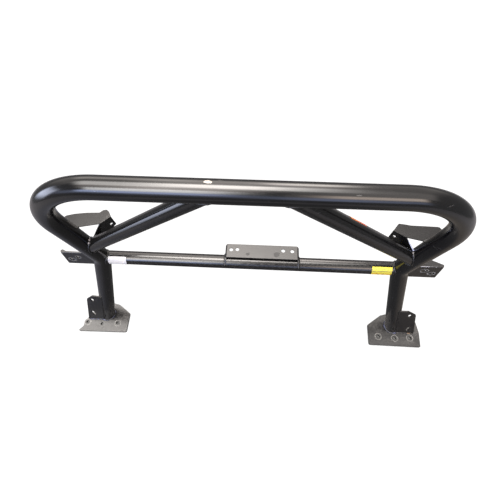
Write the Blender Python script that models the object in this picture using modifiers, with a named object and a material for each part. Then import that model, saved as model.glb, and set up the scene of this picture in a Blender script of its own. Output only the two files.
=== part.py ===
"""Tubular hoop bar for a vehicle: a welded frame of round tube on two base plates.

A bent main hoop stands on two flat base plates. A cross tube joins its knees, and two
braces run from above the knees to the top tube. Sheet brackets for accessories and rear
struts are welded to the hoop, and a hole plate sits over the middle of the cross tube.

Units are metres, +Z is up, -Y is the front and X = 0 is the mirror plane of the hoop.
The origin is on the floor, in the middle of the bar's own length and depth.
"""

import math

import bmesh
import bpy
from mathutils import Matrix, Vector

# Driving dimensions
MAIN_D = 0.0635  # main hoop tube, 2.5 inch
BRACE_D = 0.0508  # braces and cross tube, 2 inch
WALL = 0.0030
GAP = 0.0003  # between welded neighbours
SIDES = 32  # facets round a tube

LEG_Y = -0.0369  # the legs' feet, in front of the middle of the bar's depth
FOOT_X = 0.680
KNEE = (0.5575, 0.0865, 0.490)  # x, depth behind the feet, height
CORNER = (0.6150, 0.0305, 1.0155)
KNEE_BEND_R = 0.100
CORNER_BEND_R = 0.210

BRACE_FOOT = 0.19  # share of the way from the knee to the corner
BRACE_HEAD_X = 0.0885
CROSS_DROP = 0.0040  # the cross tube's axis below the knee

BASE_T = 0.010
BOLT_R = 0.0070
SHEET_T = 0.0040  # bent brackets
TAB_T = 0.0060  # flat plates

LABEL_T = 0.0003
LABEL_GAP = 0.0003

POWDER_COAT = (0.018, 0.018, 0.020)


def at(x, depth, z):
    """World point from x, the depth behind the feet, and the height."""
    return Vector((x, LEG_Y + depth, z))


def knee(side):
    return at(side * KNEE[0], KNEE[1], KNEE[2])


def corner(side):
    return at(side * CORNER[0], CORNER[1], CORNER[2])


def foot(side):
    return at(side * FOOT_X, 0.0, 0.0)


# Scene set-up


def start():
    for obj in list(bpy.data.objects):
        bpy.data.objects.remove(obj, do_unlink=True)
    groups = []
    for name in ("hoop_bar", "cutters"):
        group = bpy.data.collections.new(name)
        bpy.context.scene.collection.children.link(group)
        groups.append(group)
    return groups


PARTS, CUTTERS = start()


def material(name, colour, roughness=0.35, metallic=0.0):
    found = bpy.data.materials.get(name)
    if found:
        return found
    made = bpy.data.materials.new(name)
    made.use_nodes = True
    shader = made.node_tree.nodes["Principled BSDF"]
    shader.inputs["Base Color"].default_value = (*colour, 1.0)
    shader.inputs["Roughness"].default_value = roughness
    shader.inputs["Metallic"].default_value = metallic
    made.diffuse_color = (*colour, 1.0)
    return made


def part(name, mesh, finish):
    obj = bpy.data.objects.new(name, mesh)
    mesh.materials.append(finish)
    PARTS.objects.link(obj)
    return obj


def cutter(name, mesh):
    obj = bpy.data.objects.new(name, mesh)
    obj.hide_render = True
    obj.display_type = "WIRE"
    CUTTERS.objects.link(obj)
    return obj


def boolean(obj, tool, operation="DIFFERENCE"):
    step = obj.modifiers.new(operation.lower() + "_" + tool.name, "BOOLEAN")
    step.operation = operation
    step.object = tool
    return step


# Shapes


def curve_mesh(curve, matrix=None):
    """The curve as a welded mesh, in world space."""
    source = bpy.data.objects.new("source", curve)
    bpy.context.scene.collection.objects.link(source)
    depsgraph = bpy.context.evaluated_depsgraph_get()
    mesh = bpy.data.meshes.new_from_object(source.evaluated_get(depsgraph))
    bpy.data.objects.remove(source)
    bpy.data.curves.remove(curve)
    shape = bmesh.new()
    shape.from_mesh(mesh)
    bmesh.ops.remove_doubles(shape, verts=shape.verts, dist=0.00001)
    shape.to_mesh(mesh)
    shape.free()
    if matrix is not None:
        mesh.transform(matrix)
    return mesh


def add_spline(curve, points, closed):
    spline = curve.splines.new("POLY")
    spline.points.add(len(points) - 1)
    spline.use_cyclic_u = closed
    for target, point in zip(spline.points, points):
        target.co = (*point, *[0.0] * (3 - len(point)), 1.0)


def tube_mesh(points, diameter, capped):
    curve = bpy.data.curves.new("tube", "CURVE")
    curve.dimensions = "3D"
    curve.bevel_depth = diameter / 2
    curve.bevel_resolution = (SIDES - 4) // 2
    curve.use_fill_caps = capped
    add_spline(curve, points, closed=False)
    return curve_mesh(curve)


def prism_mesh(outline, thickness, matrix, holes=()):
    """A flat outline with holes or slots, extruded evenly to both sides of its plane."""
    curve = bpy.data.curves.new("outline", "CURVE")
    curve.dimensions = "2D"
    curve.fill_mode = "BOTH"
    curve.extrude = thickness / 2
    add_spline(curve, outline, closed=True)
    for hole in holes:
        add_spline(curve, hole_outline(*hole), closed=True)
    return curve_mesh(curve, matrix)


def hole_outline(x, y, radius, stretch=0.0, count=20):
    """A round hole, or a slot along Y whose end arcs have their centres stretch apart."""
    outline = []
    for i in range(count):
        angle = math.tau * (i + 0.5) / count
        end = math.copysign(stretch / 2, math.sin(angle))
        outline.append((x + radius * math.cos(angle), y + end + radius * math.sin(angle)))
    return outline


def plane(origin, along, up):
    """Matrix whose X runs along and whose Y runs as near up as it can."""
    x = Vector(along).normalized()
    z = x.cross(Vector(up)).normalized()
    matrix = Matrix((x, z.cross(x), z)).transposed().to_4x4()
    matrix.translation = origin
    return matrix


def bend(before, point, after, radius, count):
    """The arc that rounds a corner of a path, as points."""
    to_before = (before - point).normalized()
    to_after = (after - point).normalized()
    half = to_before.angle(to_after) / 2
    middle = point + (to_before + to_after).normalized() * (radius / math.sin(half))
    first = point + to_before * (radius / math.tan(half)) - middle
    turn = math.pi - 2 * half
    arc = []
    for i in range(count + 1):
        angle = turn * i / count
        arc.append(middle + first * math.cos(angle) - to_before * (radius * math.sin(angle)))
    return arc


def rounded(corners):
    """Closed outline from (x, y, radius) corners, with arcs of 6 steps."""
    outline = []
    for i, (x, y, radius) in enumerate(corners):
        before = Vector(corners[i - 1][:2])
        after = Vector(corners[(i + 1) % len(corners)][:2])
        point = Vector((x, y))
        if radius:
            outline += [p.to_tuple() for p in bend(before, point, after, radius, 6)]
        else:
            outline.append((x, y))
    return outline


# The main hoop and the tubes that are coped to it

HOOP_STEPS = {"knee": 5, "corner": 14}
BELOW_FLOOR = 0.06  # the legs run on this share of their length, and are cut off level


def hoop_path():
    halves = []
    for side in (-1, 1):
        low = foot(side) + (foot(side) - knee(side)) * BELOW_FLOOR
        path = [low]
        path += bend(low, knee(side), corner(side), KNEE_BEND_R, HOOP_STEPS["knee"])
        path += bend(knee(side), corner(side), corner(-side), CORNER_BEND_R, HOOP_STEPS["corner"])
        halves.append(path)
    return halves[0] + halves[1][::-1]


def brace_ends(side):
    low = knee(side).lerp(corner(side), BRACE_FOOT)
    return low, at(side * BRACE_HEAD_X, CORNER[1], CORNER[2])


def cross_ends():
    return [at(side * KNEE[0], KNEE[1], KNEE[2] - CROSS_DROP) for side in (-1, 1)]


def hollow_tube(name, points, diameter, finish):
    obj = part(name, tube_mesh(points, diameter, capped=False), finish)
    skin = obj.modifiers.new("wall", "SOLIDIFY")
    skin.thickness = WALL
    skin.offset = -1.0
    return obj


def clearance(name, points, diameter):
    return cutter(name, tube_mesh(points, diameter + 2 * GAP, capped=True))


def below_plate_cutter():
    """Everything under the base plates' top faces, with the gap."""
    size = 2.0
    mesh = bpy.data.meshes.new("below_plates")
    shape = bmesh.new()
    bmesh.ops.create_cube(shape, size=size)
    shape.to_mesh(mesh)
    shape.free()
    mesh.transform(Matrix.Translation((0.0, 0.0, BASE_T + GAP - size / 2)))
    return cutter("below_plates", mesh)


COAT = material("powder_coat", POWDER_COAT)
BELOW = below_plate_cutter()
HOOP_ROOM = clearance("hoop_room", hoop_path(), MAIN_D)
CROSS_ROOM = clearance("cross_room", cross_ends(), BRACE_D)
BRACE_ROOM = {s: clearance(f"brace_room_{s:+d}", brace_ends(s), BRACE_D) for s in (-1, 1)}
SIDE_NAME = {-1: "left", 1: "right"}


def main_hoop():
    hoop = hollow_tube("main_hoop", hoop_path(), MAIN_D, COAT)
    boolean(hoop, BELOW)


def cross_tube():
    tube = hollow_tube("cross_tube", cross_ends(), BRACE_D, COAT)
    boolean(tube, HOOP_ROOM)


def brace(side):
    tube = hollow_tube(f"brace_{SIDE_NAME[side]}", brace_ends(side), BRACE_D, COAT)
    boolean(tube, HOOP_ROOM)


# Base plates: three bolt holes in a row in front of each foot

PLATE_OUTLINE = {  # x outwards from the foot, depth, corner radius
    1: [
        (-0.116, -0.088, 0.006), (0.118, -0.090, 0.004), (0.121, -0.025, 0.030),
        (0.112, 0.030, 0.020), (0.060, 0.062, 0.010), (-0.015, 0.062, 0.010),
        (-0.050, 0.052, 0.006), (-0.114, 0.004, 0.008),
    ],
    -1: [
        (-0.105, -0.083, 0.006), (0.125, -0.086, 0.003), (0.104, -0.062, 0.010),
        (0.104, -0.040, 0.010), (0.088, -0.018, 0.010), (0.050, 0.043, 0.010),
        (-0.015, 0.056, 0.010), (-0.050, 0.048, 0.006), (-0.107, 0.007, 0.008),
    ],
}
PLATE_HOLES = {  # x outwards from the foot, depth
    1: [(-0.070, -0.049), (0.005, -0.054), (0.075, -0.050)],
    -1: [(-0.056, -0.042), (0.018, -0.049), (0.089, -0.043)],
}


def base_plate(side):
    corners = [(side * (FOOT_X + x), LEG_Y + y, r) for x, y, r in PLATE_OUTLINE[side]]
    holes = [(side * (FOOT_X + x), LEG_Y + y, BOLT_R) for x, y in PLATE_HOLES[side]]
    middle = Matrix.Translation((0.0, 0.0, BASE_T / 2))
    mesh = prism_mesh(rounded(corners), BASE_T, middle, holes)
    part(f"base_plate_{SIDE_NAME[side]}", mesh, COAT)


# Lower tabs: flat plates along the outside of each leg, near the front of the tube

TAB_FORWARD = 0.026  # the tab's mid-plane in front of the leg's axis
TAB_OUTLINE = {  # x outwards from the leg's axis, height up the leg, corner radius
    1: [
        (0.014, -0.030, 0.0), (0.0975, -0.030, 0.0), (0.0880, 0.184, 0.010),
        (0.055, 0.214, 0.014), (0.014, 0.212, 0.0),
    ],
    -1: [
        (0.014, -0.030, 0.0), (0.0890, -0.030, 0.0), (0.0795, 0.201, 0.008),
        (0.053, 0.231, 0.010), (0.014, 0.225, 0.0),
    ],
}
TAB_SLOTS = {  # x outwards from the leg's axis, height up the leg, half width, stretch
    1: [(0.0665, 0.0500, 0.0070, 0.026), (0.0625, 0.177, 0.0068, 0.012)],
    -1: [(0.0585, 0.068, 0.0070, 0.028), (0.0555, 0.195, 0.0068, 0.012)],
}


def leg_plane():
    """Origin between the feet, X across, Y up along the legs' lean."""
    lean = Vector((0.0, KNEE[1], KNEE[2]))
    return plane(at(0.0, 0.0, 0.0), (1, 0, 0), lean), lean.length


def lower_tab(side):
    matrix, leg_length = leg_plane()
    inward = (FOOT_X - KNEE[0]) / leg_length

    def place(out, height):
        return side * (FOOT_X - inward * height + out), height

    corners = [(*place(x, h), r) for x, h, r in TAB_OUTLINE[side]]
    holes = [(*place(x, h), r, stretch) for x, h, r, stretch in TAB_SLOTS[side]]
    forward = Matrix.Translation((0.0, 0.0, TAB_FORWARD))
    mesh = prism_mesh(rounded(corners), TAB_T, matrix @ forward, holes)
    tab = part(f"lower_tab_{SIDE_NAME[side]}", mesh, COAT)
    boolean(tab, HOOP_ROOM)
    boolean(tab, BELOW)


# Knee brackets: an upright face with a level gusset behind its top edge

KNEE_FACE_DEPTH = 0.078
KNEE_FACE_TOP = 0.527
KNEE_FACE = [  # x, z, corner radius
    (0.572, 0.433, 0.0), (0.707, 0.433, 0.004), (0.698, KNEE_FACE_TOP, 0.0),
    (0.570, KNEE_FACE_TOP, 0.0),
]
KNEE_HOLES = [(0.6815, 0.470), (0.6480, 0.492)]
KNEE_HOLE_R = 0.0058
KNEE_GUSSET = {  # x, depth, corner radius; the left one is only a narrow lip
    1: [
        (0.572, KNEE_FACE_DEPTH, 0.0), (0.698, KNEE_FACE_DEPTH, 0.0), (0.702, 0.088, 0.003),
        (0.681, 0.097, 0.006), (0.660, 0.106, 0.0), (0.625, 0.120, 0.010), (0.583, 0.100, 0.0),
    ],
    -1: [
        (0.572, KNEE_FACE_DEPTH, 0.0), (0.698, KNEE_FACE_DEPTH, 0.0), (0.702, 0.086, 0.003),
        (0.695, 0.092, 0.003), (0.680, 0.085, 0.004), (0.572, 0.084, 0.0),
    ],
}


def knee_bracket(side):
    upright = plane(at(0.0, KNEE_FACE_DEPTH + SHEET_T / 2, 0.0), (1, 0, 0), (0, 0, 1))
    corners = [(side * x, z, r) for x, z, r in KNEE_FACE]
    holes = [(side * x, z, KNEE_HOLE_R) for x, z in KNEE_HOLES]
    face = prism_mesh(rounded(corners), SHEET_T, upright, holes)
    bracket = part(f"knee_bracket_{SIDE_NAME[side]}", face, COAT)

    level = Matrix.Translation((0.0, LEG_Y, KNEE_FACE_TOP - SHEET_T / 2))
    corners = [(side * x, y, r) for x, y, r in KNEE_GUSSET[side]]
    gusset = prism_mesh(rounded(corners), SHEET_T, level)
    boolean(bracket, cutter(f"knee_gusset_{SIDE_NAME[side]}", gusset), "UNION")
    boolean(bracket, HOOP_ROOM)


# Wing brackets: a level plate behind the hoop with a flange down to the knee joint

WING_TOP = 0.700
WING_BEND = {  # x, depth of the bend's outer and inner end
    1: [(0.503, 0.1005), (0.4665, 0.123)],
    -1: [(0.495, 0.1090), (0.465, 0.1375)],
}
WING_PLATE = {  # x, depth, corner radius of the corners behind the bend
    1: [
        (0.487, 0.150, 0.006), (0.505, 0.148, 0.0), (0.525, 0.1445, 0.0), (0.628, 0.1425, 0.012),
        (0.605, 0.084, 0.0), (0.578, 0.084, 0.0),
    ],
    -1: [
        (0.475, 0.156, 0.005), (0.484, 0.164, 0.004), (0.496, 0.1615, 0.004),
        (0.506, 0.1515, 0.004), (0.550, 0.149, 0.0), (0.590, 0.143, 0.0), (0.624, 0.133, 0.010),
        (0.605, 0.084, 0.0), (0.578, 0.091, 0.0),
    ],
}
WING_FLANGE = {  # along the bend from its outer end, height of the corners below the bend
    1: [(0.0445, 0.655, 0.005), (-0.060, 0.612, 0.0), (-0.060, 0.632, 0.0)],
    -1: [(0.0450, 0.648, 0.005), (-0.060, 0.612, 0.0), (-0.060, 0.636, 0.0)],
}
WING_HOLE = {1: (0.0300, 0.6725, 0.0055), -1: (0.0305, 0.6625, 0.0055)}


def wing_bracket(side):
    level = Matrix.Translation((0.0, LEG_Y, WING_TOP - SHEET_T / 2))
    corners = [(x, y, 0.0) for x, y in WING_BEND[side]] + WING_PLATE[side]
    corners = [(side * x, y, r) for x, y, r in corners]
    plate = prism_mesh(rounded(corners), SHEET_T, level)
    bracket = part(f"wing_bracket_{SIDE_NAME[side]}", plate, COAT)

    outer, inner = [at(side * x, y, 0.0) for x, y in WING_BEND[side]]
    along = (inner - outer).normalized()
    behind = Vector((along.y, -along.x, 0.0)) * (SHEET_T / 2)
    if behind.y < 0:
        behind.negate()
    upright = plane(outer + behind, along, (0, 0, 1))
    top = [(0.0, WING_TOP, 0.0), ((inner - outer).length, WING_TOP, 0.0)]
    flange = prism_mesh(rounded(top + WING_FLANGE[side]), SHEET_T, upright, [WING_HOLE[side]])
    boolean(bracket, cutter(f"wing_flange_{SIDE_NAME[side]}", flange), "UNION")
    boolean(bracket, HOOP_ROOM)
    boolean(bracket, BRACE_ROOM[side])


# Accessory bracket: a hole plate over the cross tube, its ends bent down to saddle it

ACC_LEFT, ACC_RIGHT = -0.0885, 0.1825
ACC_TOP = 0.528
ACC_FRONT, ACC_BACK = 0.086, 0.140  # depth of the plate's edges
ACC_BEND_R = 0.007
ACC_HOLES = [(-0.067, 0.117), (-0.0445, 0.119), (0.1245, 0.120), (0.158, 0.119)]
ACC_SADDLE = [  # depth, height, corner radius of a bent end seen from the side
    (ACC_FRONT, ACC_TOP + 0.010, 0.0), (ACC_FRONT, ACC_TOP - SHEET_T, 0.0), (0.076, 0.518, 0.006),
    (0.064, 0.505, 0.003), (0.067, 0.495, 0.002), (0.0855, 0.500, 0.0), (0.108, 0.488, 0.0),
    (0.112, 0.470, 0.004), (0.128, 0.474, 0.008), (ACC_BACK + 0.010, 0.508, 0.0),
    (ACC_BACK + 0.010, ACC_TOP + 0.010, 0.0),
]


def accessory_bracket():
    t = SHEET_T
    low = 0.460
    section = rounded([
        (ACC_LEFT, low, 0.0), (ACC_LEFT, ACC_TOP, ACC_BEND_R), (ACC_RIGHT, ACC_TOP, ACC_BEND_R),
        (ACC_RIGHT, low, 0.0), (ACC_RIGHT - t, low, 0.0),
        (ACC_RIGHT - t, ACC_TOP - t, ACC_BEND_R - t), (ACC_LEFT + t, ACC_TOP - t, ACC_BEND_R - t),
        (ACC_LEFT + t, low, 0.0),
    ])
    across = plane(at(0.0, 0.100, 0.0), (1, 0, 0), (0, 0, 1))
    bracket = part("accessory_bracket", prism_mesh(section, 0.120, across), COAT)

    side_view = plane(at((ACC_LEFT + ACC_RIGHT) / 2, 0.0, 0.0), (0, 1, 0), (0, 0, 1))
    profile = prism_mesh(rounded(ACC_SADDLE), 0.400, side_view)
    boolean(bracket, cutter("accessory_profile", profile), "INTERSECT")

    plan = rounded([
        (ACC_LEFT - 0.010, 0.030, 0.0), (ACC_RIGHT + 0.010, 0.030, 0.0),
        (ACC_RIGHT + 0.010, 0.118, 0.0), (ACC_RIGHT, 0.124, 0.0),
        (ACC_RIGHT, ACC_BACK, 0.010), (ACC_LEFT, ACC_BACK, 0.010),
        (ACC_LEFT, 0.124, 0.0), (ACC_LEFT - 0.010, 0.118, 0.0),
    ])
    holes = [(x, y, BOLT_R) for x, y in ACC_HOLES]
    from_above = Matrix.Translation((0.0, LEG_Y, 0.5))
    top_view = prism_mesh(plan, 0.200, from_above, holes)
    boolean(bracket, cutter("accessory_plan", top_view), "INTERSECT")
    boolean(bracket, CROSS_ROOM)


# Labels: thin skins wrapped on the tubes

LABEL_STEPS = 12


def wrapped_label(name, start, axis, front, width, angles, radius, finish):
    """A label on a tube: start is on the tube's axis, angles turn from front about axis."""
    z = Vector(axis).normalized()
    y = z.cross(Vector(front)).normalized()
    matrix = Matrix((y.cross(z), y, z)).transposed().to_4x4()
    matrix.translation = Vector(start) + z * (width / 2)
    first, last = [math.radians(a) for a in angles]
    inner = radius + LABEL_GAP
    outer = inner + LABEL_T
    turns = [first + (last - first) * i / LABEL_STEPS for i in range(LABEL_STEPS + 1)]
    outline = [(outer * math.cos(a), outer * math.sin(a)) for a in turns]
    outline += [(inner * math.cos(a), inner * math.sin(a)) for a in reversed(turns)]
    part(name, prism_mesh(outline, width, matrix), finish)


def labels():
    axis_point = cross_ends()[0]
    radius = BRACE_D / 2
    angles = (-72.0, 40.0)
    for name, x, width, colour in (
        ("label_white", -0.5265, 0.068, (0.80, 0.80, 0.80)),
        ("label_yellow", 0.450, 0.077, (0.75, 0.55, 0.04)),
    ):
        start_point = (x, axis_point.y, axis_point.z)
        finish = material(name, colour, 0.5)
        wrapped_label(name, start_point, (1, 0, 0), (0, -1, 0), width, angles, radius, finish)
    low, high = brace_ends(1)
    along = (high - low).normalized()
    finish = material("sticker_orange", (0.60, 0.10, 0.02), 0.5)
    wrapped_label(
        "sticker_orange", low + along * 0.326, along, (0, 0, 1), 0.076, (14.0, 100.0), radius, finish
    )


def main():
    main_hoop()
    cross_tube()
    for side in (-1, 1):
        brace(side)
        base_plate(side)
        lower_tab(side)
        knee_bracket(side)
        wing_bracket(side)
    accessory_bracket()
    labels()


main()
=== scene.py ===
"""Looks of a black powder-coated tubular hoop bar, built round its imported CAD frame.

The tubes are rebuilt smooth and coped to each other, the plates and brackets get rounded
edges, and weld beads, washer marks, labels and a procedural finish are added.
Units are metres, +Z is up and -Y is the front. Everything rides on the one body, root.
"""

import math

import bmesh
import bpy
from mathutils import Matrix, Vector
from mathutils.bvhtree import BVHTree


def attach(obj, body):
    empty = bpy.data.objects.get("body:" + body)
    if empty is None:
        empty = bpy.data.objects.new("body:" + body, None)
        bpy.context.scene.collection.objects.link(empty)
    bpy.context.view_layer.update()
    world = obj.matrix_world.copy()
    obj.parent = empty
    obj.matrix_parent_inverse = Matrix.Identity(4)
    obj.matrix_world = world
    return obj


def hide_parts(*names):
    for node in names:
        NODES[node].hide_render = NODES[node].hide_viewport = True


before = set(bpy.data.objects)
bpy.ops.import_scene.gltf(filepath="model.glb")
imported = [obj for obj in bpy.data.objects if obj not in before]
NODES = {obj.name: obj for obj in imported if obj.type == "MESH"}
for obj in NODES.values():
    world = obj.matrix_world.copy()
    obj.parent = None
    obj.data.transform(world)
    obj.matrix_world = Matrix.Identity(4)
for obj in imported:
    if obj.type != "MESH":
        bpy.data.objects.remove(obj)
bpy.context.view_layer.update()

# Driving dimensions, the same as the CAD's
MAIN_D = 0.0635
BRACE_D = 0.0508
LEG_Y = -0.0369
FOOT_X = 0.680
KNEE = (0.5575, 0.0865, 0.490)  # x, depth behind the feet, height
CORNER = (0.6150, 0.0305, 1.0155)
KNEE_BEND_R = 0.100
CORNER_BEND_R = 0.210
BRACE_FOOT = 0.19
BRACE_HEAD_X = 0.0885
CROSS_DROP = 0.0040
BASE_T = 0.010
TAB_T = 0.006
TAB_FORWARD = 0.026
KNEE_FACE_DEPTH = 0.078
KNEE_FACE_TOP = 0.527
WING_TOP = 0.700
ACC_LEFT, ACC_RIGHT = -0.0885, 0.1825
ACC_TOP = 0.528

SIDE_NAME = {-1: "left", 1: "right"}
TUBE_SIDES = 96
BOLT_R = 0.0070
PLATE_HOLES = {  # x outwards from the foot, depth
    1: [(-0.070, -0.049), (0.005, -0.054), (0.075, -0.050)],
    -1: [(-0.056, -0.042), (0.018, -0.049), (0.089, -0.043)],
}
KNEE_HOLES = [(0.6815, 0.470), (0.6480, 0.492)]
KNEE_HOLE_R = 0.0058


def at(x, depth, z):
    """World point from x, the depth behind the feet, and the height."""
    return Vector((x, LEG_Y + depth, z))


def knee(side):
    return at(side * KNEE[0], KNEE[1], KNEE[2])


def corner(side):
    return at(side * CORNER[0], CORNER[1], CORNER[2])


def foot(side):
    return at(side * FOOT_X, 0.0, 0.0)


# Node helpers


class Tree:
    """A node tree with short calls for the maths that the finishes and the light need."""

    def __init__(self, tree):
        self.tree = tree
        self.nodes = tree.nodes
        self.links = tree.links

    def add(self, kind, **settings):
        node = self.nodes.new(kind)
        for name, value in settings.items():
            setattr(node, name, value)
        return node

    def put(self, socket, value):
        if isinstance(value, bpy.types.NodeSocket):
            self.links.new(value, socket)
        else:
            socket.default_value = value

    def math(self, operation, a, b=0.0, c=0.0, clamp=False):
        node = self.add("ShaderNodeMath", operation=operation, use_clamp=clamp)
        for socket, value in zip(node.inputs, (a, b, c)):
            self.put(socket, value)
        return node.outputs[0]

    def ramp(self, value, low, high, to_low=0.0, to_high=1.0, smooth=True):
        kind = "SMOOTHSTEP" if smooth else "LINEAR"
        node = self.add("ShaderNodeMapRange", interpolation_type=kind, clamp=True)
        for name, x in (
            ("Value", value), ("From Min", low), ("From Max", high),
            ("To Min", to_low), ("To Max", to_high),
        ):
            self.put(node.inputs[name], x)
        return node.outputs["Result"]

    def band(self, value, low, high, soft_low, soft_high):
        """1 between low and high, with soft edges."""
        up = self.ramp(value, low - soft_low, low + soft_low)
        down = self.ramp(value, high - soft_high, high + soft_high, 1.0, 0.0)
        return self.math("MULTIPLY", up, down)

    def mix(self, factor, a, b):
        node = self.add("ShaderNodeMix", data_type="RGBA")
        self.put(node.inputs[0], factor)
        for socket, value in ((node.inputs[6], a), (node.inputs[7], b)):
            self.put(socket, (*value, 1.0) if isinstance(value, tuple) else value)
        return node.outputs[2]

    def noise(self, vector, scale, detail=2.0, roughness=0.5, lift=0.0):
        node = self.add("ShaderNodeTexNoise")
        self.put(node.inputs["Vector"], vector)
        self.put(node.inputs["Scale"], scale)
        self.put(node.inputs["Detail"], detail)
        self.put(node.inputs["Roughness"], roughness)
        self.put(node.inputs["Distortion"], lift)
        return node.outputs["Fac"]

    def bump(self, height, strength, distance):
        node = self.add("ShaderNodeBump")
        self.put(node.inputs["Strength"], strength)
        self.put(node.inputs["Distance"], distance)
        self.put(node.inputs["Height"], height)
        return node.outputs["Normal"]


def new_material(name):
    made = bpy.data.materials.new(name)
    made.use_nodes = True
    tree = Tree(made.node_tree)
    shader = made.node_tree.nodes["Principled BSDF"]
    place = tree.add("ShaderNodeTexCoord").outputs["Object"]
    return made, tree, shader, place


# Finishes

COAT_DARK = (0.0021, 0.0021, 0.0025)
COAT_LIGHT = (0.0038, 0.0037, 0.0039)
COAT_WORN = (0.018, 0.017, 0.016)
SCRATCH = (0.080, 0.078, 0.075)


def powder_coat(name, rough_low, rough_high, tint=None, peel=0.10, cover=(0.45, 0.62)):
    """Satin black powder coat with orange peel, faint handling marks and rubbed edges."""
    made, tree, shader, place = new_material(name)
    clouds = tree.noise(place, 6.0, 3.0)
    colour = tree.mix(tree.ramp(clouds, 0.35, 0.65), COAT_DARK, COAT_LIGHT)
    edges = tree.add("ShaderNodeNewGeometry").outputs["Pointiness"]
    chips = tree.noise(place, 160.0, 3.0, 0.6)
    worn = tree.math("MULTIPLY", tree.ramp(edges, 0.53, 0.60), tree.ramp(chips, 0.42, 0.62))
    colour = tree.mix(tree.math("MULTIPLY", worn, 0.7), colour, COAT_WORN)
    squeezed = tree.add("ShaderNodeMapping")
    squeezed.inputs["Scale"].default_value = (24.0, 24.0, 420.0)
    squeezed.inputs["Rotation"].default_value = (0.3, 0.5, 0.2)
    tree.put(squeezed.inputs["Vector"], place)
    scratch = tree.ramp(tree.noise(squeezed.outputs[0], 1.0, 1.0), 0.76, 0.80)
    colour = tree.mix(tree.math("MULTIPLY", scratch, 0.5), colour, SCRATCH)
    # tint: patches of another colour, which on some weld and edge finishes are painted reflections
    # and glints
    if tint:
        colour = tree.mix(tree.ramp(tree.noise(place, 45.0, 2.0), *cover), colour, tint)
    tree.put(shader.inputs["Base Color"], colour)
    smears = tree.noise(place, 14.0, 5.0, 0.6, 0.4)
    rough = tree.ramp(smears, 0.3, 0.7, rough_low, rough_high)
    tree.put(shader.inputs["Roughness"], tree.math("ADD", rough, tree.math("MULTIPLY", worn, 0.12)))
    grain = tree.noise(place, 620.0, 2.0)
    swell = tree.noise(place, 210.0, 1.0)
    height = tree.math("ADD", grain, tree.math("MULTIPLY", swell, 0.8))
    tree.put(shader.inputs["Normal"], tree.bump(height, peel, 0.0006))
    return made


def rubbed_ring(name, share=1.0, rough=(0.30, 0.46)):
    """Coat pressed and rubbed grey under a washer."""
    made, tree, shader, place = new_material(name)
    arcs = tree.noise(place, 230.0, 3.0, 0.6)
    dull = tuple(c * share for c in (0.040, 0.040, 0.038))
    pale = tuple(c * share for c in (0.095, 0.093, 0.088))
    colour = tree.mix(tree.ramp(arcs, 0.35, 0.65), dull, pale)
    tree.put(shader.inputs["Base Color"], colour)
    tree.put(shader.inputs["Roughness"], tree.ramp(arcs, 0.3, 0.7, *rough))
    tree.put(shader.inputs["Normal"], tree.bump(tree.noise(place, 500.0, 2.0), 0.2, 0.0004))
    return made


def bore_shade_finish():
    """Painted shade inside the bolt holes: a dark, rough, dull finish for their walls."""
    made, tree, shader, place = new_material("bore_wall")
    bore_shade_mottle = tree.noise(place, 260.0, 3.0, 0.6)
    colour = tree.mix(tree.ramp(bore_shade_mottle, 0.35, 0.65), (0.004, 0.004, 0.004), (0.014, 0.012, 0.010))
    tree.put(shader.inputs["Base Color"], colour)
    tree.put(shader.inputs["Roughness"], tree.ramp(bore_shade_mottle, 0.3, 0.7, 0.62, 0.80))
    shader.inputs["Specular IOR Level"].default_value = 0.25
    tree.put(shader.inputs["Normal"], tree.bump(bore_shade_mottle, 0.3, 0.0006))
    return made


def pale_patch_material():
    """A small pale patch on the coat."""
    made, tree, shader, place = new_material("pale_spot")
    grit = tree.noise(place, 300.0, 3.0, 0.6)
    colour = tree.mix(tree.ramp(grit, 0.35, 0.65), (0.36, 0.33, 0.29), (0.22, 0.20, 0.18))
    tree.put(shader.inputs["Base Color"], colour)
    tree.put(shader.inputs["Roughness"], tree.ramp(grit, 0.3, 0.7, 0.45, 0.6))
    tree.put(shader.inputs["Normal"], tree.bump(grit, 0.3, 0.0006))
    return made


COAT = powder_coat("powder_coat", 0.13, 0.17, peel=0.02)
COAT_SHEET = powder_coat("powder_coat_sheet", 0.29, 0.34, peel=0.05)
COAT_WING = powder_coat("powder_coat_wing", 0.24, 0.27, peel=0.015)
COAT_WELD = powder_coat("powder_coat_weld", 0.14, 0.22, peel=0.05)
# painted reflection: blue patches on the glossy welds round the legs and under the left tab
WELD_BLUE_SHEEN = powder_coat("weld_blue_sheen", 0.16, 0.26, tint=(0.035, 0.040, 0.085), peel=0.05)
WELD_GOLD = powder_coat("weld_gold", 0.22, 0.34, tint=(0.110, 0.065, 0.030), peel=0.05)
# painted glints: pale patches on the short beads in the crotch
WELD_GLINT = powder_coat("weld_glint", 0.20, 0.34, tint=(0.26, 0.24, 0.25))
# worn edges with painted highlights: pale grey, and pale blue for a painted reflection
EDGE_WEAR_AND_HIGHLIGHT = powder_coat(
    "edge_wear_and_highlight", 0.16, 0.26, tint=(0.22, 0.22, 0.24), peel=0.04, cover=(0.34, 0.50)
)
EDGE_WEAR_AND_BLUE_SHEEN = powder_coat(
    "edge_wear_and_blue_sheen", 0.20, 0.32, tint=(0.32, 0.34, 0.44), peel=0.04, cover=(0.22, 0.36)
)
SMUDGE = powder_coat("smudge", 0.50, 0.58, peel=0.05)
RUBBED = rubbed_ring("washer_mark")
RUBBED_DIM = rubbed_ring("washer_rim", 0.35)
# washer marks on the upright knee faces, painted 2.4 times paler than on the plates: real wear plus
# painted light, as these faces get less light
RUBBED_SIDE_LIT = rubbed_ring("washer_mark_side_lit", 2.4, (0.55, 0.70))
# painted shade on the walls of the bolt holes
BORE_SHADE = bore_shade_finish()
PALE_PATCH = pale_patch_material()


# Meshes


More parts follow.
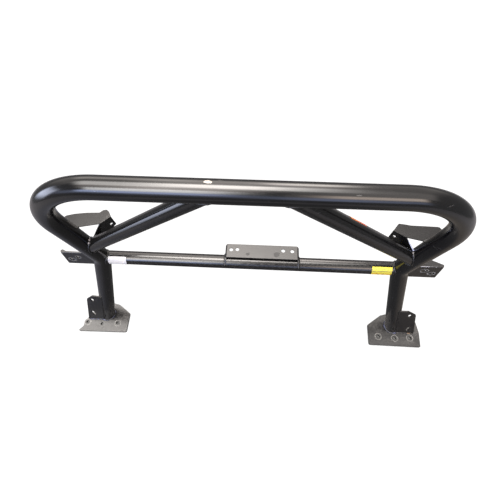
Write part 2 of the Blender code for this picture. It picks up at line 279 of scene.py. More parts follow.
def obj_from(name, shape, finish):
    """A new piece from a bmesh, which is freed."""
    mesh = bpy.data.meshes.new(name)
    bmesh.ops.recalc_face_normals(shape, faces=shape.faces)
    shape.to_mesh(mesh)
    shape.free()
    obj = bpy.data.objects.new(name, mesh)
    bpy.context.scene.collection.objects.link(obj)
    if finish:
        mesh.materials.append(finish)
    return obj


def smooth(obj, degrees=35.0):
    mesh = obj.data
    mesh.polygons.foreach_set("use_smooth", [True] * len(mesh.polygons))
    mesh.set_sharp_from_angle(angle=math.radians(degrees))


def settle(obj):
    """Applies the piece's modifiers to its mesh."""
    depsgraph = bpy.context.evaluated_depsgraph_get()
    mesh = bpy.data.meshes.new_from_object(obj.evaluated_get(depsgraph))
    old = obj.data
    obj.modifiers.clear()
    obj.data = mesh
    bpy.data.meshes.remove(old)


def ride(obj, slot, *nodes):
    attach(obj, "root")
    if nodes:
        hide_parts(*nodes)
    return obj


def bend(before, point, after, radius, count):
    """The arc that rounds a corner of a path, as points."""
    to_before = (before - point).normalized()
    to_after = (after - point).normalized()
    half = to_before.angle(to_after) / 2
    middle = point + (to_before + to_after).normalized() * (radius / math.sin(half))
    first = point + to_before * (radius / math.tan(half)) - middle
    turn = math.pi - 2 * half
    arc = []
    for i in range(count + 1):
        angle = turn * i / count
        arc.append(middle + first * math.cos(angle) - to_before * (radius * math.sin(angle)))
    return arc


def frames(points, closed):
    """Each point with two unit vectors across the path, carried along without twist."""
    count = len(points)
    tangents = []
    for i in range(count):
        if closed:
            step = points[(i + 1) % count] - points[i - 1]
        else:
            step = points[min(i + 1, count - 1)] - points[max(i - 1, 0)]
        tangents.append(step.normalized())
    side = tangents[0].orthogonal().normalized()
    found = []
    for point, tangent in zip(points, tangents):
        side = (side - tangent * side.dot(tangent)).normalized()
        found.append((point, side, tangent.cross(side)))
    return found


def swept(points, radii, sides, closed=False):
    """A round section swept along a path, as a bmesh with capped ends."""
    shape = bmesh.new()
    rings = []
    for (point, u, v), radius in zip(frames(points, closed), radii):
        ring = []
        for i in range(sides):
            angle = math.tau * i / sides
            offset = u * (radius * math.cos(angle)) + v * (radius * math.sin(angle))
            ring.append(shape.verts.new(point + offset))
        rings.append(ring)
    pairs = list(zip(rings, rings[1:]))
    if closed:
        pairs.append((rings[-1], nearest_start(rings[-1], rings[0])))
    for a, b in pairs:
        for i in range(sides):
            j = (i + 1) % sides
            shape.faces.new((a[i], a[j], b[j], b[i]))
    if not closed:
        shape.faces.new(rings[0])
        shape.faces.new(rings[-1])
    return shape


def nearest_start(last, first):
    """The first ring turned so that it lines up with the last one."""
    count = len(first)
    best = min(range(count), key=lambda k: (first[k].co - last[0].co).length_squared)
    return [first[(best + i) % count] for i in range(count)]


def tree_of(obj):
    depsgraph = bpy.context.evaluated_depsgraph_get()
    return BVHTree.FromObject(obj, depsgraph)


# Tubes

KNEE_STEPS = 18
CORNER_STEPS = 56


def hoop_path():
    halves = []
    for side in (-1, 1):
        low = foot(side) + (foot(side) - knee(side)) * 0.06
        path = [low]
        path += bend(low, knee(side), corner(side), KNEE_BEND_R, KNEE_STEPS)
        path += bend(knee(side), corner(side), corner(-side), CORNER_BEND_R, CORNER_STEPS)
        halves.append(path)
    return halves[0] + halves[1][::-1]


def brace_ends(side):
    low = knee(side).lerp(corner(side), BRACE_FOOT)
    return low, at(side * BRACE_HEAD_X, CORNER[1], CORNER[2])


def cross_ends():
    return [at(side * KNEE[0], KNEE[1], KNEE[2] - CROSS_DROP) for side in (-1, 1)]


def tube(name, points, diameter, finish):
    shape = swept(points, [diameter / 2] * len(points), TUBE_SIDES)
    return obj_from(name, shape, finish)


def cope(obj, tool):
    cut = obj.modifiers.new("cope", "BOOLEAN")
    cut.operation = "DIFFERENCE"
    cut.solver = "EXACT"
    cut.object = tool
    settle(obj)


def cut_level(obj, height):
    """Cuts the piece off level below this height and closes it."""
    shape = bmesh.new()
    shape.from_mesh(obj.data)
    geometry = shape.verts[:] + shape.edges[:] + shape.faces[:]
    cut = bmesh.ops.bisect_plane(
        shape, geom=geometry, plane_co=(0, 0, height), plane_no=(0, 0, -1), clear_outer=True
    )
    rim = [e for e in cut["geom_cut"] if isinstance(e, bmesh.types.BMEdge)]
    bmesh.ops.holes_fill(shape, edges=rim, sides=0)
    bmesh.ops.recalc_face_normals(shape, faces=shape.faces)
    shape.to_mesh(obj.data)
    shape.free()


# Weld beads: a rippled fillet along each joint

BEAD_R = 0.0034
BEAD_STEP = 0.0009
BEAD_PITCH = 0.0036
BEAD_SIDES = 10


def resample(points, step, closed):
    """Points at an even spacing along the path."""
    if closed:
        points = points + points[:1]
    lengths = [(b - a).length for a, b in zip(points, points[1:])]
    total = sum(lengths)
    count = max(4, round(total / step))
    made = []
    done, i = 0.0, 0
    for k in range(count if closed else count + 1):
        target = total * k / count
        while i < len(lengths) - 1 and done + lengths[i] < target:
            done += lengths[i]
            i += 1
        share = (target - done) / lengths[i] if lengths[i] else 0.0
        made.append(points[i].lerp(points[i + 1], min(1.0, share)))
    return made


def relaxed(points, closed, rounds=3):
    for _ in range(rounds):
        last = len(points) - 1
        moved = []
        for i, point in enumerate(points):
            if not closed and i in (0, last):
                moved.append(point)
                continue
            middle = (points[i - 1] + points[(i + 1) % len(points)]) / 2
            moved.append(point.lerp(middle, 0.5))
        points = moved
    return points


def bead(name, points, closed=False, radius=BEAD_R, finish=None):
    points = relaxed(resample(points, BEAD_STEP, closed), closed)
    radii = []
    for i in range(len(points)):
        travel = i * BEAD_STEP
        ripple = abs(math.sin(math.pi * travel / BEAD_PITCH))
        sway = math.sin(travel * 210.0) + 0.6 * math.sin(travel * 517.0 + 1.3)
        size = radius * (0.84 + 0.16 * ripple + 0.035 * sway)
        if not closed:
            end = min(i, len(points) - 1 - i) * BEAD_STEP
            size *= 0.45 + 0.55 * min(1.0, end / 0.004)
        radii.append(size)
    obj = obj_from(name, swept(points, radii, BEAD_SIDES, closed), finish)
    smooth(obj, 60.0)
    return ride(obj, "powder_coat")


def ring_hits(tree, centre, along, radius, count=120):
    """Where lines along a tube's skin, starting round centre, meet the tree."""
    u = along.orthogonal().normalized()
    v = along.cross(u)
    hits = []
    for i in range(count):
        angle = math.tau * i / count
        start = centre + (u * math.cos(angle) + v * math.sin(angle)) * radius
        hit = tree.ray_cast(start, along)[0]
        if hit:
            hits.append(hit)
    return hits


def runs(points, keep, gap=0.012):
    """Stretches of points that pass keep, each one unbroken."""
    found, current = [], []
    for point in points:
        ok = point is not None and keep(point)
        if ok and current and (point - current[-1]).length > gap:
            found.append(current)
            current = []
        if ok:
            current.append(point)
        elif current:
            found.append(current)
            current = []
    if current:
        found.append(current)
    return [run for run in found if len(run) > 4]


def seam(name, tube_tree, plate_tree, casts, finish, reach=0.0016, radius=BEAD_R):
    """Beads where the casts meet a tube close to a plate."""
    hits = [tube_tree.ray_cast(start, way)[0] for start, way in casts]

    def keep(point):
        nearest = plate_tree.find_nearest(point)
        return nearest[0] is not None and nearest[3] < reach

    for i, run in enumerate(runs(hits, keep)):
        bead(f"{name}_{i + 1}", run, radius=radius, finish=finish)


# Plates and brackets


def round_bend(shape, height, radius=0.0045):
    """Rounds the outside of a sheet's bend, whose edge lies level at this height."""
    bends = []
    for edge in shape.edges:
        if len(edge.link_faces) != 2:
            continue
        if any(abs(vert.co.z - height) > 0.0002 for vert in edge.verts):
            continue
        flat, upright = sorted(edge.link_faces, key=lambda face: -abs(face.normal.z))
        front = flat.normal.z > 0.99 and upright.normal.y < -0.5 and edge.calc_length() > 0.015
        if front and upright.calc_area() > 0.0006:
            bends.append(edge)
    bmesh.ops.bevel(
        shape, geom=bends, offset=radius, segments=5, profile=0.5, affect="EDGES",
        clamp_overlap=True,
    )


def rounded_plate(node, finish, width=0.0009, bend_height=None):
    """The CAD plate with its edges rounded over."""
    shape = bmesh.new()
    shape.from_mesh(NODES[node].data)
    bmesh.ops.remove_doubles(shape, verts=shape.verts, dist=0.00002)
    bmesh.ops.dissolve_limit(
        shape, angle_limit=math.radians(0.5), verts=shape.verts, edges=shape.edges
    )
    if bend_height:
        shape.normal_update()
        round_bend(shape, bend_height)
    obj = obj_from(node + "_rounded", shape, finish)
    edge = obj.modifiers.new("edges", "BEVEL")
    edge.width = width
    edge.segments = 3
    edge.limit_method = "ANGLE"
    edge.angle_limit = math.radians(32.0)
    edge.use_clamp_overlap = True
    obj.data.polygons.foreach_set("use_smooth", [True] * len(obj.data.polygons))
    even = obj.modifiers.new("even", "WEIGHTED_NORMAL")
    even.mode = "FACE_AREA"
    even.weight = 90
    settle(obj)
    return ride(obj, "powder_coat", node)


def darken_bores(obj, spots, axis, radius):
    """Gives the walls of the bolt holes their own dark finish, which is painted shade."""
    way = Vector(axis)
    obj.data.materials.append(BORE_SHADE)
    for face in obj.data.polygons:
        if abs(face.normal.dot(way)) > 0.5:
            continue
        for spot in spots:
            offset = face.center - Vector(spot)
            offset -= way * offset.dot(way)
            if offset.length < radius + 0.0012:
                face.material_index = 1


# Camera

CAM_PLACE = (0.0234, LEG_Y - 0.4966, 1.7666)
CAM_RIGHT = (0.9987, 0.0498, -0.0135)
CAM_VIEW = (-0.0343, 0.4444, -0.8952)
LENS = 27.0
CAM_SHIFT = (0.0142, -0.0007)


def camera():
    data = bpy.data.cameras.new("camera")
    obj = bpy.data.objects.new("camera", data)
    bpy.context.scene.collection.objects.link(obj)
    data.lens = LENS
    data.sensor_width = 36.0
    data.shift_x, data.shift_y = CAM_SHIFT
    back = -Vector(CAM_VIEW).normalized()
    right = Vector(CAM_RIGHT)
    right = (right - back * right.dot(back)).normalized()
    turn = Matrix((right, back.cross(right), back)).transposed().to_4x4()
    turn.translation = CAM_PLACE
    obj.matrix_world = turn
    bpy.context.scene.camera = obj


# Light: soft boxes and a window far away, each given by its place in the sky

WARM = (1.0, 0.92, 0.86)
BEIGE = (1.0, 0.83, 0.71)
PALE = (1.0, 0.97, 0.93)
WHITE = (1.0, 1.0, 1.0)
BLUE = (0.56, 0.66, 1.0)

# angle over the arch from the front horizon through the zenith to the back, in degrees,
# and the share towards +X: low, high, edge softness of each; then colour and strength
BOXES = [
    (84, 112, 8, -0.27, 0.05, 0.10, WARM, 16.0),
    (80, 112, 7, -0.62, 0.21, 0.12, PALE, 8.5),
    (100, 160, 12, -0.28, 0.22, 0.09, WARM, 3.4),
    (100, 172, 12, -0.85, 0.75, 0.15, WARM, 0.9),
    (34, 56, 5, -0.46, -0.09, 0.09, WHITE, 13.5),
    (50, 86, 8, -0.33, -0.05, 0.08, WARM, 6.5),
    (50, 86, 8, -0.60, -0.20, 0.10, WARM, 2.5),
    (66, 88, 6, -0.10, 0.06, 0.06, WARM, 3.0),
    (17, 33, 7, -0.60, -0.10, 0.08, BLUE, 9.0),
    (4, 30, 8, -0.90, 0.30, 0.10, BLUE, 1.4),
    (133, 155, 5, 0.03, 0.24, 0.04, WARM, 9.0),
    (138, 160, 8, -0.60, -0.20, 0.08, WARM, 2.5),
    (28, 50, 6, 0.17, 0.60, 0.06, BEIGE, 7.5),
    (4, 24, 6, 0.10, 0.60, 0.08, BLUE, 2.0),
    (50, 100, 10, 0.14, 0.75, 0.08, WARM, 1.6),
]
ROOM = 0.25  # the dim room between them
LEFT_WALL = (0.74, 0.80, 1.0)
LEFT_WALL_LIGHT = 8.0  # a window low on the left
BACKDROP = 1.0


def sky():
    world = bpy.data.worlds.new("studio")
    bpy.context.scene.world = world
    world.use_nodes = True
    world.node_tree.nodes.clear()
    tree = Tree(world.node_tree)
    way = tree.add("ShaderNodeTexCoord").outputs["Generated"]
    split = tree.add("ShaderNodeSeparateXYZ")
    tree.put(split.inputs[0], way)
    x, y, z = split.outputs
    front = tree.math("MULTIPLY", y, -1.0)
    arch = tree.math("MULTIPLY", tree.math("ARCTAN2", z, front), 180.0 / math.pi)
    above = tree.ramp(z, -0.02, 0.05)

    def scaled(colour, share):
        node = tree.add("ShaderNodeVectorMath", operation="SCALE")
        node.inputs[0].default_value = colour
        tree.put(node.inputs["Scale"], share)
        return node.outputs[0]

    def plus(a, b):
        node = tree.add("ShaderNodeVectorMath", operation="ADD")
        tree.put(node.inputs[0], a)
        tree.put(node.inputs[1], b)
        return node.outputs[0]

    total = scaled((ROOM, ROOM, ROOM), 1.0)
    for low, high, soft, x_low, x_high, x_soft, colour, strength in BOXES:
        along = tree.band(arch, low, high, soft, soft)
        across = tree.band(x, x_low, x_high, x_soft, x_soft)
        share = tree.math("MULTIPLY", tree.math("MULTIPLY", along, across), above)
        total = plus(total, scaled([c * strength for c in colour], share))
    wall = tree.band(y, -0.40, 0.12, 0.07, 0.07)
    wall = tree.math("MULTIPLY", wall, tree.band(z, -0.16, 0.30, 0.17, 0.14))
    wall = tree.math("MULTIPLY", wall, tree.ramp(x, -0.9, -0.75, 1.0, 0.0))
    total = plus(total, scaled([c * LEFT_WALL_LIGHT for c in LEFT_WALL], wall))

    light = tree.add("ShaderNodeBackground")
    tree.put(light.inputs["Color"], total)
    plain = tree.add("ShaderNodeBackground")
    plain.inputs["Color"].default_value = (BACKDROP, BACKDROP, BACKDROP, 1.0)
    pick = tree.add("ShaderNodeMixShader")
    tree.put(pick.inputs[0], tree.add("ShaderNodeLightPath").outputs["Is Camera Ray"])
    tree.put(pick.inputs[1], light.outputs[0])
    tree.put(pick.inputs[2], plain.outputs[0])
    out = tree.add("ShaderNodeOutputWorld")
    tree.put(out.inputs["Surface"], pick.outputs[0])


FLOOR_HALF = 2.6
# what the reflections see of the floor: painted shade, darkest between the feet and paler far off,
# tinted bluish on the left and warm on the right
FLOOR_SHADED_MIDDLE = (0.036, 0.037, 0.038)
FLOOR_LEFT = (0.062, 0.065, 0.076)
FLOOR_RIGHT = (0.072, 0.067, 0.061)
FLOOR_FAR = (0.115, 0.115, 0.122)
FLOOR_REACH = (0.9, 2.0)  # distance from the middle where near turns to far
FLOOR_SEEN = (0.95, 0.95, 0.95)
# painted shade on the floor seen through the bolt holes
FLOOR_HOLE_SHADE = (0.09, 0.09, 0.085)
FLOOR_SHADE = (0.05, 0.05, 0.05, 1.0)
HOLE_DEPTH = 0.018


def floor():
    """Pale to the camera, with painted shade in the bolt holes; in the reflections dim, with
    painted shade darkest between the feet.
    """
    shape = bmesh.new()
    bmesh.ops.create_grid(shape, x_segments=1, y_segments=1, size=FLOOR_HALF)
    made = bpy.data.materials.new("pale_floor")
    made.use_nodes = True
    made.node_tree.nodes.clear()
    tree = Tree(made.node_tree)
    dim = tree.add("ShaderNodeBsdfDiffuse")
    spot = tree.add("ShaderNodeTexCoord").outputs["Object"]
    reach = tree.add("ShaderNodeVectorMath", operation="LENGTH")
    tree.put(reach.inputs[0], spot)
    split = tree.add("ShaderNodeSeparateXYZ")
    tree.put(split.inputs[0], spot)
    x = split.outputs[0]
    # painted shade: darkest between the feet, paler towards the far floor
    near = tree.mix(tree.ramp(x, -0.85, -0.55), FLOOR_LEFT, FLOOR_SHADED_MIDDLE)
    near = tree.mix(tree.ramp(x, 0.60, 0.85), near, FLOOR_RIGHT)
    far = tree.ramp(reach.outputs["Value"], *FLOOR_REACH)
    tree.put(dim.inputs["Color"], tree.mix(far, near, FLOOR_FAR))
    pale = tree.add("ShaderNodeEmission")
    # painted shade where the floor is shut in, as in the bolt holes
    shut_in = tree.add("ShaderNodeAmbientOcclusion", samples=8)
    shut_in.inputs["Distance"].default_value = HOLE_DEPTH
    open_air = tree.ramp(shut_in.outputs["AO"], 0.38, 0.64)
    tree.put(pale.inputs["Color"], tree.mix(open_air, FLOOR_HOLE_SHADE, FLOOR_SEEN))
    shade = tree.add("ShaderNodeBsdfDiffuse")
    shade.inputs["Color"].default_value = FLOOR_SHADE
    both = tree.add("ShaderNodeAddShader")
    tree.put(both.inputs[0], pale.outputs[0])
    tree.put(both.inputs[1], shade.outputs[0])
    pick = tree.add("ShaderNodeMixShader")
    tree.put(pick.inputs[0], tree.add("ShaderNodeLightPath").outputs["Is Camera Ray"])
    tree.put(pick.inputs[1], dim.outputs[0])
    tree.put(pick.inputs[2], both.outputs[0])
    out = tree.add("ShaderNodeOutputMaterial")
    tree.put(out.inputs["Surface"], pick.outputs[0])
    obj = obj_from("floor", shape, made)


# Build

def tubes():
    hoop = tube("hoop", hoop_path(), MAIN_D, COAT)
    cross = tube("cross_member", cross_ends(), BRACE_D, COAT)
    cope(cross, hoop)
    braces = {}
    for side in (-1, 1):
        braces[side] = tube(f"brace_tube_{SIDE_NAME[side]}", brace_ends(side), BRACE_D, COAT)
        cope(braces[side], hoop)
    cut_level(hoop, BASE_T)
    for obj in (hoop, cross, *braces.values()):
        smooth(obj, 30.0)
    ride(hoop, "powder_coat", "main_hoop")
    ride(cross, "powder_coat", "cross_tube")
    for side in (-1, 1):
        ride(braces[side], "powder_coat", f"brace_{SIDE_NAME[side]}")
    return hoop, cross


def tube_welds(hoop_tree):
    r = BRACE_D / 2
    for side in (-1, 1):
        name = SIDE_NAME[side]
        low, high = brace_ends(side)
        along = (high - low).normalized()
        nose = ring_hits(hoop_tree, low + along * 0.25, -along, r)
        bead(f"weld_brace_foot_{name}", nose, closed=True, radius=0.0040, finish=COAT_WELD)
        head = ring_hits(hoop_tree, high - along * 0.25, along, r)
        bead(f"weld_brace_head_{name}", head, closed=True, finish=COAT_WELD)
        end = at(side * (KNEE[0] - 0.2), KNEE[1], KNEE[2] - CROSS_DROP)
        hits = ring_hits(hoop_tree, end, Vector((side, 0, 0)), r)
        bead(f"weld_cross_end_{name}", hits, closed=True, radius=0.0038, finish=COAT_WELD)
        lean = (knee(side) - foot(side)).normalized()
        points = []
        u = lean.orthogonal().normalized()
        v = lean.cross(u)
        for i in range(120):
            angle = math.tau * i / 120
            start = foot(side) + lean * 0.1
            start += (u * math.cos(angle) + v * math.sin(angle)) * (MAIN_D / 2)
            points.append(start - lean * ((start.z - BASE_T) / lean.z))
        bead(f"weld_leg_{name}", points, closed=True, radius=0.0044, finish=WELD_BLUE_SHEEN)
        # the crotch between the brace and the upright catches the light: short beads with painted
        # glints and a painted blue reflection
        crest = max(range(len(nose)), key=lambda i: nose[i].z)
        count = len(nose)
        for k, (first, last) in enumerate(((-9, -4), (-2, 3), (5, 10))):
            short = [nose[(crest + i) % count] for i in range(first, last + 1)]
            finish = WELD_BLUE_SHEEN if k == 2 else WELD_GLINT
            bead(f"weld_crotch_{name}_{k + 1}", short, radius=0.0060, finish=finish)


BENDS = {"knee_bracket": KNEE_FACE_TOP}


def plates():
    made = {}
    for side in (-1, 1):
        for kind, width in (
            ("base_plate", 0.0014), ("lower_tab", 0.0011), ("knee_bracket", 0.0008),
            ("wing_bracket", 0.0008),
        ):
            node = f"{kind}_{SIDE_NAME[side]}"
            finish = COAT_WING if kind == "wing_bracket" else COAT_SHEET
            made[node] = rounded_plate(node, finish, width, BENDS.get(kind))
        spots = [(side * (FOOT_X + x), LEG_Y + y, 0.0) for x, y in PLATE_HOLES[side]]
        darken_bores(made[f"base_plate_{SIDE_NAME[side]}"], spots, (0, 0, 1), BOLT_R)
        spots = [at(side * x, KNEE_FACE_DEPTH, z) for x, z in KNEE_HOLES]
        darken_bores(made[f"knee_bracket_{SIDE_NAME[side]}"], spots, (0, 1, 0), KNEE_HOLE_R)
    made["accessory_bracket"] = rounded_plate("accessory_bracket", COAT_SHEET, 0.0008)
    return made


def plate_welds(hoop_tree, cross_tree, made):
    for side in (-1, 1):
        name = SIDE_NAME[side]
        inward = Vector((-side, 0, 0))
        # the lower tab, along its front and back faces
        tree = tree_of(made[f"lower_tab_{name}"])
        lean = (at(0, KNEE[1], KNEE[2]) - at(0, 0, 0)).normalized()
        forward = Vector((0, -lean.z, lean.y))
        for label, shift in (("front", TAB_T / 2), ("back", -TAB_T / 2)):
            casts = []
            for i in range(120):
                start = at(side * (FOOT_X + 0.15), 0, 0) + lean * (0.012 + 0.225 * i / 119)
                casts.append((start + forward * (TAB_FORWARD + shift), inward))
            seam(f"weld_tab_{label}_{name}", hoop_tree, tree, casts, COAT_WELD, 0.0035, 0.0030)
        foot_line = []
        for i in range(40):
            out = 0.018 + 0.070 * i / 39
            foot_line.append(at(side * (FOOT_X - 0.002 + out), -TAB_FORWARD - 0.0012, BASE_T))
        finish = WELD_GOLD if side > 0 else WELD_BLUE_SHEEN
        bead(f"weld_tab_foot_{name}", foot_line, radius=0.0032, finish=finish)
        # the knee bracket, along its front face and over its gusset
        tree = tree_of(made[f"knee_bracket_{name}"])
        casts = []
        for i in range(80):
            z = 0.434 + (KNEE_FACE_TOP - 0.434) * i / 79
            casts.append((at(side * 0.75, KNEE_FACE_DEPTH, z), inward))
        seam(f"weld_knee_face_{name}", hoop_tree, tree, casts, COAT_WELD, 0.0030, 0.0028)
        casts = []
        for i in range(60):
            depth = KNEE_FACE_DEPTH + 0.004 + 0.040 * i / 59
            casts.append((at(side * 0.75, depth, KNEE_FACE_TOP + 0.0004), inward))
        seam(f"weld_knee_top_{name}", hoop_tree, tree, casts, COAT_WELD, 0.0030, 0.0028)
        # the wing bracket, round the upright
        tree = tree_of(made[f"wing_bracket_{name}"])
        share = (WING_TOP - KNEE[2]) / (CORNER[2] - KNEE[2])
        middle = knee(side).lerp(corner(side), share)
        for label, z in (("top", WING_TOP + 0.0004), ("under", WING_TOP - 0.0044)):
            casts = []
            for i in range(160):
                angle = math.tau * i / 160
                way = Vector((math.cos(angle), math.sin(angle), 0))
                casts.append((Vector((middle.x, middle.y, z)) + way * 0.08, -way))
            seam(f"weld_wing_{label}_{name}", hoop_tree, tree, casts, COAT_WELD, 0.0030, 0.0028)
    # sheared edges that lost some coat, painted with a highlight: pale blue along the right wing's
    # flange, pale grey along the right knee's bend
    outer = at(0.5030, 0.1035, WING_TOP - 0.003)
    lower = at(0.5500, 0.0755, 0.640)
    strip = [outer.lerp(lower, i / 30) for i in range(31)]
    bead("edge_wing_flange_right", strip, radius=0.0027, finish=EDGE_WEAR_AND_BLUE_SHEEN)
    line = []
    for i in range(31):
        line.append(at(0.612 + 0.084 * i / 30, KNEE_FACE_DEPTH + 0.0019, KNEE_FACE_TOP - 0.0019))
    bead("edge_knee_bend_right", line, radius=0.0017, finish=EDGE_WEAR_AND_HIGHLIGHT)
    # the accessory bracket's bent ends, round the cross tube
    tree = tree_of(made["accessory_bracket"])
    axis = cross_ends()[0]
    for label, x in (("left", ACC_LEFT - 0.0003), ("right", ACC_RIGHT + 0.0003)):
        casts = []
        for i in range(140):
            angle = math.tau * i / 140
            way = Vector((0, math.cos(angle), math.sin(angle)))
            casts.append((Vector((x, axis.y, axis.z)) + way * 0.06, -way))
        seam(f"weld_accessory_{label}", cross_tree, tree, casts, COAT_WELD, 0.0034, 0.0052)


# Labels, marks and wear


def tube_patch(name, shape, start, axis, front, radius, lift, thick, finish):
    """A flat patch, its X along the tube in metres and its Y an angle, laid on the tube."""
    z = Vector(axis).normalized()
    y = z.cross(Vector(front)).normalized()
    x = y.cross(z)
    for vert in shape.verts:
        along, angle = vert.co.x, vert.co.y
        away = x * math.cos(angle) + y * math.sin(angle)
        vert.co = Vector(start) + z * along + away * (radius + lift)
    bmesh.ops.recalc_face_normals(shape, faces=shape.faces)
    face = shape.faces[0]
    middle = face.calc_center_median() - Vector(start)
    middle -= z * middle.dot(z)
    if face.normal.dot(middle) < 0:
        bmesh.ops.reverse_faces(shape, faces=shape.faces)
    made = bmesh.ops.extrude_face_region(shape, geom=shape.faces[:])
    for item in made["geom"]:
        if isinstance(item, bmesh.types.BMVert):
            offset = item.co - Vector(start)
            offset -= z * offset.dot(z)
            item.co += offset.normalized() * thick
    obj = obj_from(name, shape, finish)
    smooth(obj, 40.0)
    return obj


def grid_patch(width, angles, columns, rows, edge=None):
    """A rectangle of width by angles as a grid; edge(t) waves its far side."""
    first, last = [math.radians(a) for a in angles]
    shape = bmesh.new()
    verts = []
    for j in range(rows + 1):
        row = []
        for i in range(columns + 1):
            t = i / columns
            far = last - (edge(t) if edge else 0.0)
            row.append(shape.verts.new((width * t, first + (far - first) * j / rows, 0.0)))
        verts.append(row)
    for j in range(rows):
        for i in range(columns):
            shape.faces.new(
                (verts[j][i], verts[j][i + 1], verts[j + 1][i + 1], verts[j + 1][i])
            )
    return shape


def oval_patch(half_width, half_angle, wobble=0.10):
    """A slightly uneven oval as rings round a middle point."""
    shape = bmesh.new()
    middle = shape.verts.new((0.0, 0.0, 0.0))
    last = None
    count = 36
    for ring in (0.35, 0.7, 1.0):
        current = []
        for i in range(count):
            a = math.tau * i / count
            size = ring * (1.0 + wobble * math.sin(2 * a + 0.7) + wobble * 0.6 * math.sin(3 * a))
            x = half_width * size * math.cos(a)
            current.append(shape.verts.new((x, half_angle * size * math.sin(a), 0.0)))
        for i in range(count):
            j = (i + 1) % count
            if last:
                shape.faces.new((last[i], last[j], current[j], current[i]))
            else:
                shape.faces.new((middle, current[j], current[i]))
        last = current
    return shape


def paper(name, colour, ink, rows, ink_share, stripe=None, gloss=0.38):
    """A printed film label on the cross tube: generic dashes in rows, no lettering."""
    made, tree, shader, place = new_material(name)
    split = tree.add("ShaderNodeSeparateXYZ")
    tree.put(split.inputs[0], place)
    x, y, z = split.outputs
    axis = cross_ends()[0]
    up = tree.math("SUBTRACT", z, axis.z)
    forward = tree.math("SUBTRACT", axis.y, y)
    turn = tree.math("ARCTAN2", up, forward)
    level = tree.ramp(turn, math.radians(-40.0), math.radians(72.0), smooth=False)
    mottle = tree.noise(place, 55.0, 3.0, 0.6)
    base = tree.mix(tree.ramp(mottle, 0.3, 0.7), colour, tuple(c * 0.88 for c in colour))
    for low, high in rows:
        line = tree.band(level, low, high, 0.012, 0.012)
        squeezed = tree.add("ShaderNodeCombineXYZ")
        tree.put(squeezed.inputs[0], tree.math("MULTIPLY", x, 260.0))
        tree.put(squeezed.inputs[1], tree.math("MULTIPLY", level, 40.0))
        words = tree.noise(squeezed.outputs[0], 1.0, 1.0)
        dashes = tree.math("MULTIPLY", line, tree.ramp(words, 0.36, 0.46))
        base = tree.mix(tree.math("MULTIPLY", dashes, ink_share), base, ink)
    if stripe:
        low, high, tint = stripe
        base = tree.mix(tree.band(level, low, high, 0.015, 0.015), base, tint)
    tree.put(shader.inputs["Base Color"], base)
    tree.put(shader.inputs["Roughness"], tree.ramp(mottle, 0.3, 0.7, gloss, gloss + 0.1))
    wrinkle = tree.noise(place, 38.0, 2.0)
    tree.put(shader.inputs["Normal"], tree.bump(wrinkle, 0.15, 0.002))
    return made


def sticker_film(name, start, axis, length):
    """Orange film: yellower at its upper end, redder below, with a paler worn edge."""
    made, tree, shader, place = new_material(name)
    along = tree.add("ShaderNodeVectorMath", operation="DOT_PRODUCT")
    tree.put(along.inputs[0], place)
    along.inputs[1].default_value = axis
    first = Vector(start).dot(axis)
    share = tree.ramp(along.outputs["Value"], first, first + length, smooth=False)
    blotch = tree.noise(place, 70.0, 3.0, 0.6)
    colour = tree.mix(share, (0.30, 0.035, 0.022), (0.42, 0.13, 0.022))
    pale = tree.ramp(blotch, 0.52, 0.66)
    colour = tree.mix(tree.math("MULTIPLY", pale, 0.6), colour, (0.48, 0.28, 0.10))
    tree.put(shader.inputs["Base Color"], colour)
    tree.put(shader.inputs["Roughness"], tree.ramp(blotch, 0.3, 0.7, 0.32, 0.45))
    tree.put(shader.inputs["Normal"], tree.bump(blotch, 0.1, 0.001))
    return made


LABEL_ANGLES = (-72.0, 40.0)
LABEL_LIFT, LABEL_THICK = 0.0003, 0.0003
STICKER_START, STICKER_LENGTH = 0.326, 0.076  # along the right brace from its foot


def labels():
    axis = cross_ends()[0]
    r = BRACE_D / 2
    white = paper(
        "label_white_film", (0.43, 0.425, 0.42), (0.27, 0.25, 0.28),
        [(0.28, 0.32), (0.44, 0.49), (0.58, 0.63), (0.74, 0.79)], 0.45,
    )
    yellow = paper(
        "label_yellow_film", (0.50, 0.43, 0.035), (0.085, 0.075, 0.030),
        [(0.49, 0.54), (0.60, 0.70), (0.80, 0.83)], 0.85, (0.35, 0.42, (0.40, 0.11, 0.02)),
    )
    for node, x, width, finish in (
        ("label_white", -0.5265, 0.068, white), ("label_yellow", 0.450, 0.0725, yellow),
    ):
        shape = grid_patch(width, LABEL_ANGLES, 8, 40)
        start = (x, axis.y, axis.z)
        obj = tube_patch(
            node + "_film", shape, start, (1, 0, 0), (0, -1, 0), r, LABEL_LIFT, LABEL_THICK, finish
        )
        ride(obj, node, node)
    low, high = brace_ends(1)
    along = (high - low).normalized()
    start = low + along * STICKER_START
    film = sticker_film("sticker_film", start, along, STICKER_LENGTH)

    def torn(t):
        return 0.16 * (1 + math.sin(t * 11.0 + 0.6)) * (1 - 0.3 * t)

    shape = grid_patch(STICKER_LENGTH, (14.0, 100.0), 40, 24, torn)
    obj = tube_patch(
        "sticker_orange_film", shape, start, along, (0, 0, 1), r, LABEL_LIFT, LABEL_THICK, film
    )
    ride(obj, "sticker_orange", "sticker_orange")


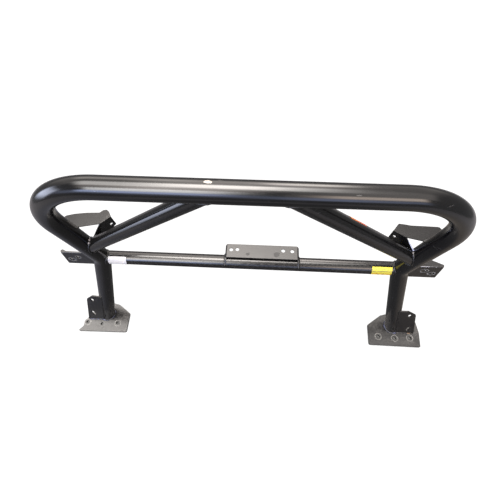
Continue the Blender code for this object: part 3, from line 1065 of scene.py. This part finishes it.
def ring_mark(name, centre, normal, inner, outer, finish, height=0.00022):
    """A thin raised ring left by a washer."""
    n = Vector(normal).normalized()
    u = n.orthogonal().normalized()
    if abs(n.z) < 0.5:
        u = Vector((0, 0, 1)).cross(n).normalized()
    v = n.cross(u)
    width = outer - inner
    section = [
        (inner, -0.0001), (inner, height * 0.3), (inner + width * 0.2, height),
        (outer - width * 0.2, height), (outer, height * 0.3), (outer, -0.0001),
    ]
    count = 64
    shape = bmesh.new()
    rings = []
    for i in range(count):
        a = math.tau * i / count
        way = u * math.cos(a) + v * math.sin(a)
        rings.append([shape.verts.new(Vector(centre) + way * r + n * h) for r, h in section])
    size = len(section)
    for a, b in zip(rings, rings[1:] + rings[:1]):
        for i in range(size):
            j = (i + 1) % size
            shape.faces.new((a[i], a[j], b[j], b[i]))
    obj = obj_from(name, shape, finish)
    smooth(obj, 50.0)
    return ride(obj, "powder_coat")


SMUDGES = [(-0.005, 0.101, 0.0062), (0.100, 0.103, 0.0105)]  # x, depth, radius
WASHER_RING = (0.0125, 0.0162)  # inner and outer radius
WASHER_RIM = (0.0078, 0.0092)
KNEE_RING = (0.0124, 0.0150)
KNEE_RING_SMALL = (0.0092, 0.0116)


def marks():
    for side in (-1, 1):
        name = SIDE_NAME[side]
        for i, (x, y) in enumerate(PLATE_HOLES[side]):
            centre = (side * (FOOT_X + x), LEG_Y + y, BASE_T)
            if side < 0 and i == 1:
                continue
            ring_mark(f"washer_mark_{name}_{i + 1}", centre, (0, 0, 1), *WASHER_RING, RUBBED)
            ring_mark(f"washer_rim_{name}_{i + 1}", centre, (0, 0, 1), *WASHER_RIM, RUBBED_DIM)
        for i, (x, z) in enumerate(KNEE_HOLES):
            small = side < 0 and i == 1
            centre = at(side * (x - (0.001 if small else 0.004)), KNEE_FACE_DEPTH, z)
            ring = KNEE_RING_SMALL if small else KNEE_RING
            ring_mark(
                f"knee_mark_{name}_{i + 1}", centre, (0, -1, 0), *ring, RUBBED_SIDE_LIT,
                height=0.00012,
            )
    for i, (x, depth, size) in enumerate(SMUDGES):
        disc = oval_patch(size, size)
        for vert in disc.verts:
            vert.co = at(x + vert.co.x, depth + vert.co.y, ACC_TOP) + Vector((0, 0, 0.00004))
        lifted = bmesh.ops.extrude_face_region(disc, geom=disc.faces[:])["geom"]
        for item in lifted:
            if isinstance(item, bmesh.types.BMVert):
                item.co.z += 0.00008
        obj = obj_from(f"smudge_{i + 1}", disc, SMUDGE)
        smooth(obj)
        ride(obj, "powder_coat")
    top = at(0, CORNER[1], CORNER[2])
    spot = oval_patch(0.0095, 0.0055 / (MAIN_D / 2))
    obj = tube_patch(
        "pale_top_patch", spot, (-0.096, top.y, top.z), (1, 0, 0), (0, 0.17, 1.0), MAIN_D / 2,
        -0.0001, 0.0003, PALE_PATCH,
    )
    ride(obj, "powder_coat")


def main():
    camera()
    sky()
    floor()
    hoop, cross = tubes()
    hoop_tree = tree_of(hoop)
    cross_tree = tree_of(cross)
    tube_welds(hoop_tree)
    made = plates()
    plate_welds(hoop_tree, cross_tree, made)
    labels()
    marks()


main()

bpy.context.scene.view_settings.view_transform = "Standard"
bpy.context.scene.cycles.use_denoising = True
